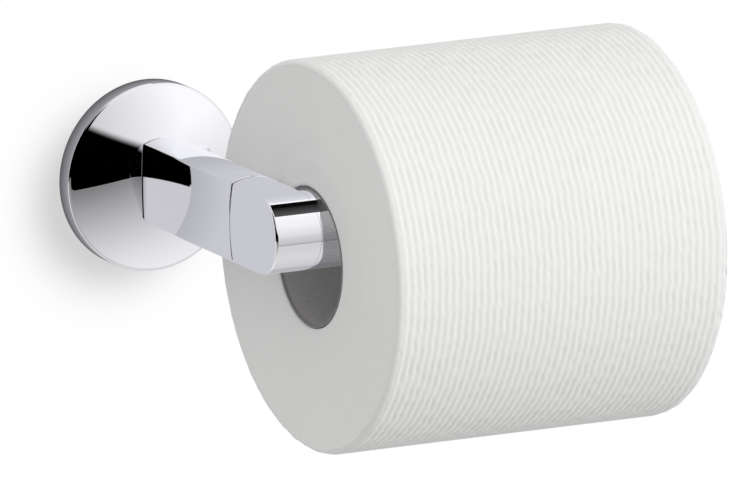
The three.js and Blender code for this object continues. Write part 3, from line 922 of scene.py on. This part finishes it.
def wall_material():
    """Plain white wall that shows only its front, with the flange's soft shadow on it. The
    chrome sees it lilac-grey, and darker in the corner between the flange and the wall."""
    material = bpy.data.materials.new("pale_wall")
    material.use_nodes = True
    graph = Graph(material.node_tree)
    place = graph.add("ShaderNodeTexCoord").outputs["Object"]
    path = graph.add("ShaderNodeLightPath")
    mirrored = path.outputs["Is Glossy Ray"]

    def distance(centre):
        node = graph.add("ShaderNodeVectorMath", {0: place, 1: centre}, operation="DISTANCE")
        return node.outputs["Value"]

    beyond = graph.math("MAXIMUM", graph.math("SUBTRACT", distance(SHADOW_CENTRE), SHADOW_RADIUS), 0.0)
    spread = graph.math("DIVIDE", beyond, SHADOW_BLUR)
    fade = graph.math("EXPONENT", graph.math("MULTIPLY", graph.math("MULTIPLY", spread, spread), -1.0))
    seen = graph.math("MULTIPLY_ADD", fade, -SHADOW_DEPTH, 1.0)

    reach = distance((0, 0, 0))
    open_wall = graph.remap(reach, FLANGE_RADIUS * MM, 0.045, 0.74, 1.0)
    open_wall = graph.math("ADD", open_wall, graph.remap(reach, 0.08, 0.4, 0.0, 0.5))
    touching, close, clear = CORNER_REACH
    corner = graph.remap(path.outputs["Ray Length"], touching, close, 0.16, 0.5)
    away = graph.remap(path.outputs["Ray Length"], close, clear, 0.0, 1.0)
    tone = graph.blend(mirrored, (1, 1, 1, 1), WALL_MIRRORED_TONE)
    strength = graph.mix(mirrored, seen, graph.mix(away, corner, open_wall))
    glow = graph.add("ShaderNodeEmission", {"Color": tone, "Strength": strength})

    height = graph.add("ShaderNodeSeparateXYZ", {0: place}).outputs["Z"]
    above = graph.math("GREATER_THAN", height, WALL_MIRRORED_TOP)
    back = graph.add("ShaderNodeNewGeometry").outputs["Backfacing"]
    hidden = graph.math("MAXIMUM", back, graph.math("MULTIPLY", mirrored, above))
    mix = graph.add("ShaderNodeMixShader", {0: hidden})
    graph.tree.links.new(glow.outputs[0], mix.inputs[1])
    graph.tree.links.new(graph.add("ShaderNodeBsdfTransparent").outputs[0], mix.inputs[2])
    out = graph.add("ShaderNodeOutputMaterial")
    graph.tree.links.new(mix.outputs[0], out.inputs["Surface"])
    return material


FLOOR_TONE = 0.298  # brightness of the mirrored floor, and how it grows along x, y and z
FLOOR_SLOPE = (0.271, 0.151, -0.655)
HORIZON = -21.5
HORIZON_LINE = (-22.1, -20.1)
SCREEN_BEARINGS = (-91, 20)
GAP_START = 52.4  # the dark gap overhead: lowest height, furthest y and range of x
GAP_BACK = 0.25
GAP_ACROSS = (0.41, 0.6)
FOLD_BEARING = -20.0  # second reflections right of this see the studio's right side


def reflected_studio(graph):
    """What the chrome reflects, by direction: a white studio over a grey floor, a black screen
    to the left and a dark gap overhead. Bearings and heights are in degrees, 0 is -Y."""
    way = graph.add("ShaderNodeTexCoord").outputs["Generated"]
    split = graph.add("ShaderNodeSeparateXYZ", {0: way})
    x, y, z = split.outputs
    degrees = 180 / math.pi
    bearing = graph.math("MULTIPLY", graph.math("ARCTAN2", x, graph.math("MULTIPLY", y, -1.0)), degrees)
    bounces = graph.add("ShaderNodeLightPath").outputs["Glossy Depth"]
    second = graph.math("GREATER_THAN", bounces, 1.5)
    unfold = graph.math("MULTIPLY", second, graph.math("GREATER_THAN", bearing, FOLD_BEARING))
    bearing = graph.mix(unfold, bearing, graph.math("ABSOLUTE", bearing))
    height = graph.math("MULTIPLY", graph.math("ARCSINE", z), degrees)

    def within(value, low, high, soft):
        rise = graph.remap(value, low - soft, low + soft, 0.0, 1.0)
        fall = graph.remap(value, high - soft, high + soft, 1.0, 0.0)
        return graph.math("MULTIPLY", rise, fall)

    front_edge = graph.math(
        "ADD",
        graph.math("MULTIPLY_ADD", graph.math("MINIMUM", bearing, 0.0), 0.2, -9.8),
        graph.math("MULTIPLY", graph.math("MAXIMUM", bearing, 0.0), 0.134),
    )
    side_edge = graph.math(
        "MINIMUM",
        graph.math("MULTIPLY_ADD", bearing, -0.583, -33.3),
        graph.math("MULTIPLY_ADD", bearing, 0.065, -5.1),
    )
    screen_foot = graph.math("MAXIMUM", front_edge, side_edge)
    front_top = graph.math("MINIMUM", graph.math("MULTIPLY_ADD", bearing, -0.43, 15.3), 30.0)
    screen_top = graph.math("MAXIMUM", front_top, graph.remap(bearing, -37, -31, 64.0, 0.0))
    screen_here = within(bearing, *SCREEN_BEARINGS, 1.0)

    horizon = graph.mix(screen_here, HORIZON, screen_foot)
    above_floor = graph.remap(graph.math("SUBTRACT", height, horizon), -0.25, 0.25, 0.0, 1.0)
    below_top = graph.remap(graph.math("SUBTRACT", height, screen_top), -4.0, 2.0, 1.0, 0.0, True)
    screen = graph.math("MULTIPLY", graph.math("MULTIPLY", screen_here, below_top), above_floor)

    sky_tone = graph.math(
        "MINIMUM", graph.remap(bearing, -25, 45, 0.66, 1.09), graph.remap(height, -24, 16, 0.72, 1.1)
    )
    overhead = graph.remap(height, GAP_START - 0.4, GAP_START + 0.4, 0.0, 1.0)
    gap = graph.math("MULTIPLY", overhead, graph.remap(y, GAP_BACK - 0.01, GAP_BACK + 0.01, 1.0, 0.0))
    gap = graph.math("MULTIPLY", gap, within(x, *GAP_ACROSS, 0.01))
    gap = graph.math("MULTIPLY", gap, graph.math("SUBTRACT", 1.0, second))
    gap_tone = graph.remap(y, -0.42, 0.05, 0.1, 0.003)
    sky = graph.blend(gap, sky_tone, gap_tone)
    sky = graph.blend(screen, sky, (0.0, 0.0, 0.0, 1))

    slope = graph.add("ShaderNodeVectorMath", {0: way, 1: FLOOR_SLOPE}, operation="DOT_PRODUCT")
    ground = graph.math("ADD", slope.outputs["Value"], FLOOR_TONE)
    ground = graph.math("MAXIMUM", ground, graph.remap(bearing, -46, -36, 0.73, 0.0))
    ground = graph.math("MAXIMUM", ground, graph.remap(bearing, 20, 28, 0.0, 0.71))
    line = within(height, *HORIZON_LINE, 0.5)
    line = graph.math("MULTIPLY", line, within(bearing, 20, 200, 1.0))
    tone = graph.blend(above_floor, ground, sky)
    return graph.blend(line, tone, (0.5, 0.5, 0.52, 1))


def make_world():
    """Soft light from all round for the object, and the mirrored studio for its chrome."""
    world = bpy.data.worlds.new("studio")
    world.use_nodes = True
    graph = Graph(world.node_tree)
    way = graph.add("ShaderNodeTexCoord").outputs["Generated"]
    up = graph.add("ShaderNodeSeparateXYZ", {0: way}).outputs["Z"]
    soft = graph.add("ShaderNodeBackground", {"Strength": graph.remap(up, -0.1, 1.0, 0.94, 1.12)})
    seen = graph.add("ShaderNodeBackground", {"Strength": 1.0})
    graph.feed(seen.inputs["Color"], reflected_studio(graph))
    mix = graph.add("ShaderNodeMixShader", {0: graph.add("ShaderNodeLightPath").outputs["Is Glossy Ray"]})
    graph.tree.links.new(soft.outputs[0], mix.inputs[1])
    graph.tree.links.new(seen.outputs[0], mix.inputs[2])
    out = graph.add("ShaderNodeOutputWorld")
    graph.tree.links.new(mix.outputs[0], out.inputs["Surface"])
    bpy.context.scene.world = world


def aimed(thing, place, target):
    """Puts a light or camera at place, looking at target."""
    thing.location = place
    thing.rotation_mode = "QUATERNION"
    thing.rotation_quaternion = (Vector(target) - Vector(place)).to_track_quat("-Z", "Y")


KEY_SIZE = 0.7
KEY_POWER = 13.0
KEY_PLACE = (0.95, -1.75, 0.5)


def add_key_light():
    """Weak light from the front right, which the chrome doesn't show."""
    data = bpy.data.lights.new("key", "AREA")
    data.size = KEY_SIZE
    data.energy = KEY_POWER
    key = bpy.data.objects.new("key", data)
    bpy.context.scene.collection.objects.link(key)
    aimed(key, KEY_PLACE, (0.03, -0.05, 0.0))
    key.visible_glossy = False
    key.visible_camera = False


CAMERA_BEARING = 27.41  # degrees to the left of the front, and above the level
CAMERA_HEIGHT = 13.19
CAMERA_DISTANCE = 6.15
CAMERA_TARGET = (0.0452, -0.060, -0.01293)
FRAME_WIDTH = 0.22071  # what the picture takes in across the target, metres


def add_camera():
    """Camera at the usual three-quarter product angle, from the left and a little above."""
    data = bpy.data.cameras.new("camera")
    data.sensor_width = 36.0
    data.lens = data.sensor_width * CAMERA_DISTANCE / FRAME_WIDTH
    data.clip_start, data.clip_end = 0.1, 200.0
    camera = bpy.data.objects.new("camera", data)
    bpy.context.scene.collection.objects.link(camera)
    bearing, height = math.radians(CAMERA_BEARING), math.radians(CAMERA_HEIGHT)
    flat = math.cos(height)
    back = Vector((-math.sin(bearing) * flat, -math.cos(bearing) * flat, math.sin(height)))
    aimed(camera, Vector(CAMERA_TARGET) + back * CAMERA_DISTANCE, CAMERA_TARGET)
    bpy.context.scene.camera = camera


def build_studio():
    floor = stage_plane("floor", (0, 0, -0.28), (30, 0, 0), (0, 30, 0), floor_material())
    floor.visible_glossy = False
    wall = stage_plane("wall", (0, 0.0005, 0.72), (1.5, 0, 0), (0, 0, 1), wall_material())
    wall.visible_diffuse = False
    wall.visible_transmission = False
    wall.visible_shadow = False
    make_world()
    add_key_light()
    add_camera()
    bpy.context.scene.view_settings.view_transform = "Standard"


# ---------- assembly ----------

make_flange(chrome("flange_chrome"))
post_chrome = chrome("post_chrome", painted_gap_shade=True)
make_neck(post_chrome)
make_arm_head(chrome("head_chrome", painted_bar_shade=True))
bar_chrome = chrome("bar_chrome", painted_bar_shade=True)
make_arm_bar(bar_chrome)
make_end_cap(bar_chrome)
make_paper_roll(tissue())
make_roll_core(cardboard())

dress(
    worked_metal("zinc_casting", (0.42, 0.43, 0.45, 1), (0.58, 0.59, 0.61, 1), 0.38, 0.6, 900),
    "wall_bracket",
)
dress(
    worked_metal("zinc_plated_steel", (0.6, 0.61, 0.64, 1), (0.72, 0.73, 0.74, 1), 0.22, 0.36, 2400),
    "wall_screw_left", "wall_screw_right", "flange_grub_screw", "tie_bolt",
)
dress(
    worked_metal("oiled_spring_steel", (0.3, 0.3, 0.32, 1), (0.42, 0.42, 0.44, 1), 0.25, 0.4, 2000),
    "stop_pin", "stop_washer", "disc_spring", "locating_pin_upper", "locating_pin_lower",
)
dress(moulded("acetal", (0.82, 0.81, 0.77, 1), (0.88, 0.87, 0.83, 1), 0.3, 0.45), "pivot_bush")
dress(
    moulded("nylon", (0.5, 0.51, 0.5, 1), (0.6, 0.61, 0.59, 1), 0.45, 0.6),
    "wall_anchor_left", "wall_anchor_right",
)
dress(moulded("rubber", (0.015, 0.015, 0.016, 1), (0.03, 0.03, 0.032, 1), 0.6, 0.8), "end_cap_ring")

build_studio()
